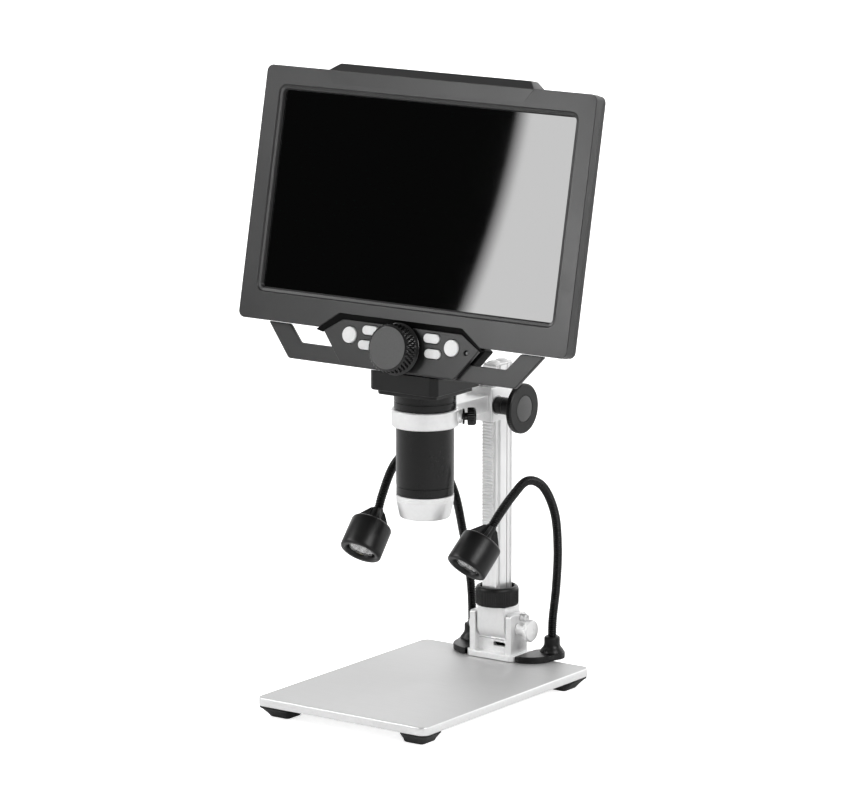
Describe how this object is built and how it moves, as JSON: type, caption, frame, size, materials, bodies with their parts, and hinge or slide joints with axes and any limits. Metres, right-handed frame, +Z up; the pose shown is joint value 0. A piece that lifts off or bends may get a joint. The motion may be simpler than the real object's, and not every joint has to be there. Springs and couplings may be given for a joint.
{
  "type": "digital microscope",
  "caption": "Digital inspection microscope: large tilted screen with control panel over a single lens barrel on a rack-and-pinion column, flat metal stage and gooseneck lamps.",
  "frame": {"origin": "middle of the underside of the bounding box, on the surface the feet stand on", "axes": "+X is the user's right, +Y is away from the user, +Z is up"},
  "size_m": [0.227, 0.1786, 0.3629],
  "materials": {
    "brushed_aluminium": "brushed plate, clear anodised",
    "silver_aluminium": "satin silver, fine blasted",
    "screw_steel": "bright turned",
    "black_rubber": "matte moulded",
    "black_plastic": "satin moulded",
    "grey_plastic": "fine textured",
    "neck_metal": "black ribbed gooseneck",
    "screen_glass": "polished, black behind",
    "panel_black": "smooth",
    "white_plastic": "smooth",
    "clear_lens": "polished",
    "circuit_board": "solder-masked",
    "battery_foil": "crimped foil"
  },
  "bodies": {
    "stand": {"base_plate": "brushed_aluminium", "foot_front_left": "black_rubber", "foot_front_right": "black_rubber", "foot_rear_left": "black_rubber", "foot_rear_right": "black_rubber", "bracket": "silver_aluminium", "bracket_screw_left": "screw_steel", "bracket_screw_right": "screw_steel", "stop_screw": "silver_aluminium", "lamp_foot_left": "black_plastic", "lamp_foot_right": "black_plastic", "neck_root_left": "neck_metal", "neck_root_right": "neck_metal"},
    "mast": {"tilt_block": "silver_aluminium", "column_collar": "black_plastic", "column": "silver_aluminium", "column_rack": "silver_aluminium", "column_cap": "white_plastic"},
    "tilt_clamp": {"tilt_knob": "silver_aluminium"},
    "carriage": {"carriage": "silver_aluminium", "ring_arm": "silver_aluminium"},
    "pinion": {"pinion_shaft": "screw_steel", "focus_knob_left": "black_plastic", "focus_knob_right": "black_plastic"},
    "ring_screw": {"ring_thumbscrew": "black_plastic"},
    "head": {"barrel": "black_plastic", "tip_ring": "silver_aluminium", "led_board": "circuit_board", "objective_lens": "clear_lens", "adapter_flange": "black_plastic", "camera_housing": "black_plastic", "sensor_board": "circuit_board", "front_bezel": "grey_plastic", "screen_glass": "screen_glass", "lcd_panel": "panel_black", "rear_cover": "grey_plastic", "main_board": "circuit_board", "battery": "battery_foil", "control_panel": "grey_plastic", "control_housing": "black_plastic", "key_board": "circuit_board", "wing_frame": "grey_plastic", "status_lamp": "clear_lens"},
    "lens_carrier": {"lens_carrier": "black_plastic"},
    "focus_wheel": {"focus_wheel": "black_plastic"},
    "button_left_round": {"button_left_round": "white_plastic"},
    "button_left_upper": {"button_left_upper": "white_plastic"},
    "button_left_lower": {"button_left_lower": "white_plastic"},
    "button_right_upper": {"button_right_upper": "white_plastic"},
    "button_right_lower": {"button_right_lower": "white_plastic"},
    "button_right_round": {"button_right_round": "white_plastic"},
    "lamp_arm_left": {"neck_arm_left": "neck_metal"},
    "lamp_left": {"lamp_cap_left": "black_plastic", "lamp_head_left": "black_plastic", "lamp_lens_left": "clear_lens"},
    "lamp_arm_right": {"neck_arm_right": "neck_metal"},
    "lamp_right": {"lamp_cap_right": "black_plastic", "lamp_head_right": "black_plastic", "lamp_lens_right": "clear_lens"}
  },
  "joints": [
    {"name": "mast_tilt", "type": "hinge", "parent": "stand", "child": "mast", "pos_m": [0, 0.0667, 0.0302], "axis": [-1, 0, 0], "range_deg": [-5, 25]},
    {"name": "tilt_clamp_turn", "type": "hinge", "parent": "stand", "child": "tilt_clamp", "pos_m": [0, 0.0667, 0.0302], "axis": [1, 0, 0], "range_deg": [-90, 90]},
    {"name": "carriage_slide", "type": "slide", "parent": "mast", "child": "carriage", "axis": [0, 0, 1], "range_m": [-0.075, 0.012]},
    {"name": "pinion_turn", "type": "hinge", "parent": "carriage", "child": "pinion", "pos_m": [0, 0.0521, 0.1654], "axis": [1, 0, 0], "range_deg": [-195, 1198]},
    {"name": "ring_screw_turn", "type": "hinge", "parent": "carriage", "child": "ring_screw", "pos_m": [0, -0.0063, 0.1673], "axis": [0.809, 0.5878, 0], "range_deg": [-180, 180]},
    {"name": "head_swivel", "type": "hinge", "parent": "carriage", "child": "head", "pos_m": [0, -0.0063, 0.1673], "axis": [0, 0, -1], "range_deg": [-45, 45]},
    {"name": "focus_wheel_turn", "type": "hinge", "parent": "head", "child": "focus_wheel", "pos_m": [0, -0.03659, 0.21119], "axis": [0, -0.9789, 0.2045], "range_deg": [-151, 151]},
    {"name": "lens_slide", "type": "slide", "parent": "head", "child": "lens_carrier", "axis": [0, 0, 1], "range_m": [-0.006, 0.006]},
    {"name": "button_left_round_press", "type": "slide", "parent": "head", "child": "button_left_round", "axis": [0, 0.9789, -0.2045], "range_m": [0, 0.0007], "stiffness_N_per_m": 400, "springref_m": -0.0004},
    {"name": "button_left_upper_press", "type": "slide", "parent": "head", "child": "button_left_upper", "axis": [0, 0.9789, -0.2045], "range_m": [0, 0.0007], "stiffness_N_per_m": 400, "springref_m": -0.0004},
    {"name": "button_left_lower_press", "type": "slide", "parent": "head", "child": "button_left_lower", "axis": [0, 0.9789, -0.2045], "range_m": [0, 0.0007], "stiffness_N_per_m": 400, "springref_m": -0.0004},
    {"name": "button_right_upper_press", "type": "slide", "parent": "head", "child": "button_right_upper", "axis": [0, 0.9789, -0.2045], "range_m": [0, 0.0007], "stiffness_N_per_m": 400, "springref_m": -0.0004},
    {"name": "button_right_lower_press", "type": "slide", "parent": "head", "child": "button_right_lower", "axis": [0, 0.9789, -0.2045], "range_m": [0, 0.0007], "stiffness_N_per_m": 400, "springref_m": -0.0004},
    {"name": "button_right_round_press", "type": "slide", "parent": "head", "child": "button_right_round", "axis": [0, 0.9789, -0.2045], "range_m": [0, 0.0007], "stiffness_N_per_m": 400, "springref_m": -0.0004},
    {"name": "lamp_left_bend", "type": "hinge", "parent": "stand", "child": "lamp_arm_left", "pos_m": [-0.02876, 0.08181, 0.03521], "axis": [1, 0, 0], "range_deg": [-15, 20]},
    {"name": "lamp_left_aim", "type": "hinge", "parent": "lamp_arm_left", "child": "lamp_left", "pos_m": [-0.0347, -0.0035, 0.1087], "axis": [-1, 0, 0], "range_deg": [-30, 30]},
    {"name": "lamp_right_bend", "type": "hinge", "parent": "stand", "child": "lamp_arm_right", "pos_m": [0.02873, 0.0817, 0.03339], "axis": [1, 0, 0], "range_deg": [-15, 20]},
    {"name": "lamp_right_aim", "type": "hinge", "parent": "lamp_arm_right", "child": "lamp_right", "pos_m": [0.0389, 0.0046, 0.1063], "axis": [-1, 0, 0], "range_deg": [-30, 30]}
  ],
  "couplings": [
    {"joint": "pinion_turn", "follows": "carriage_slide", "rad_per_m": -277.78},
    {"joint": "focus_wheel_turn", "follows": "lens_slide", "rad_per_m": 436.33}
  ]
}
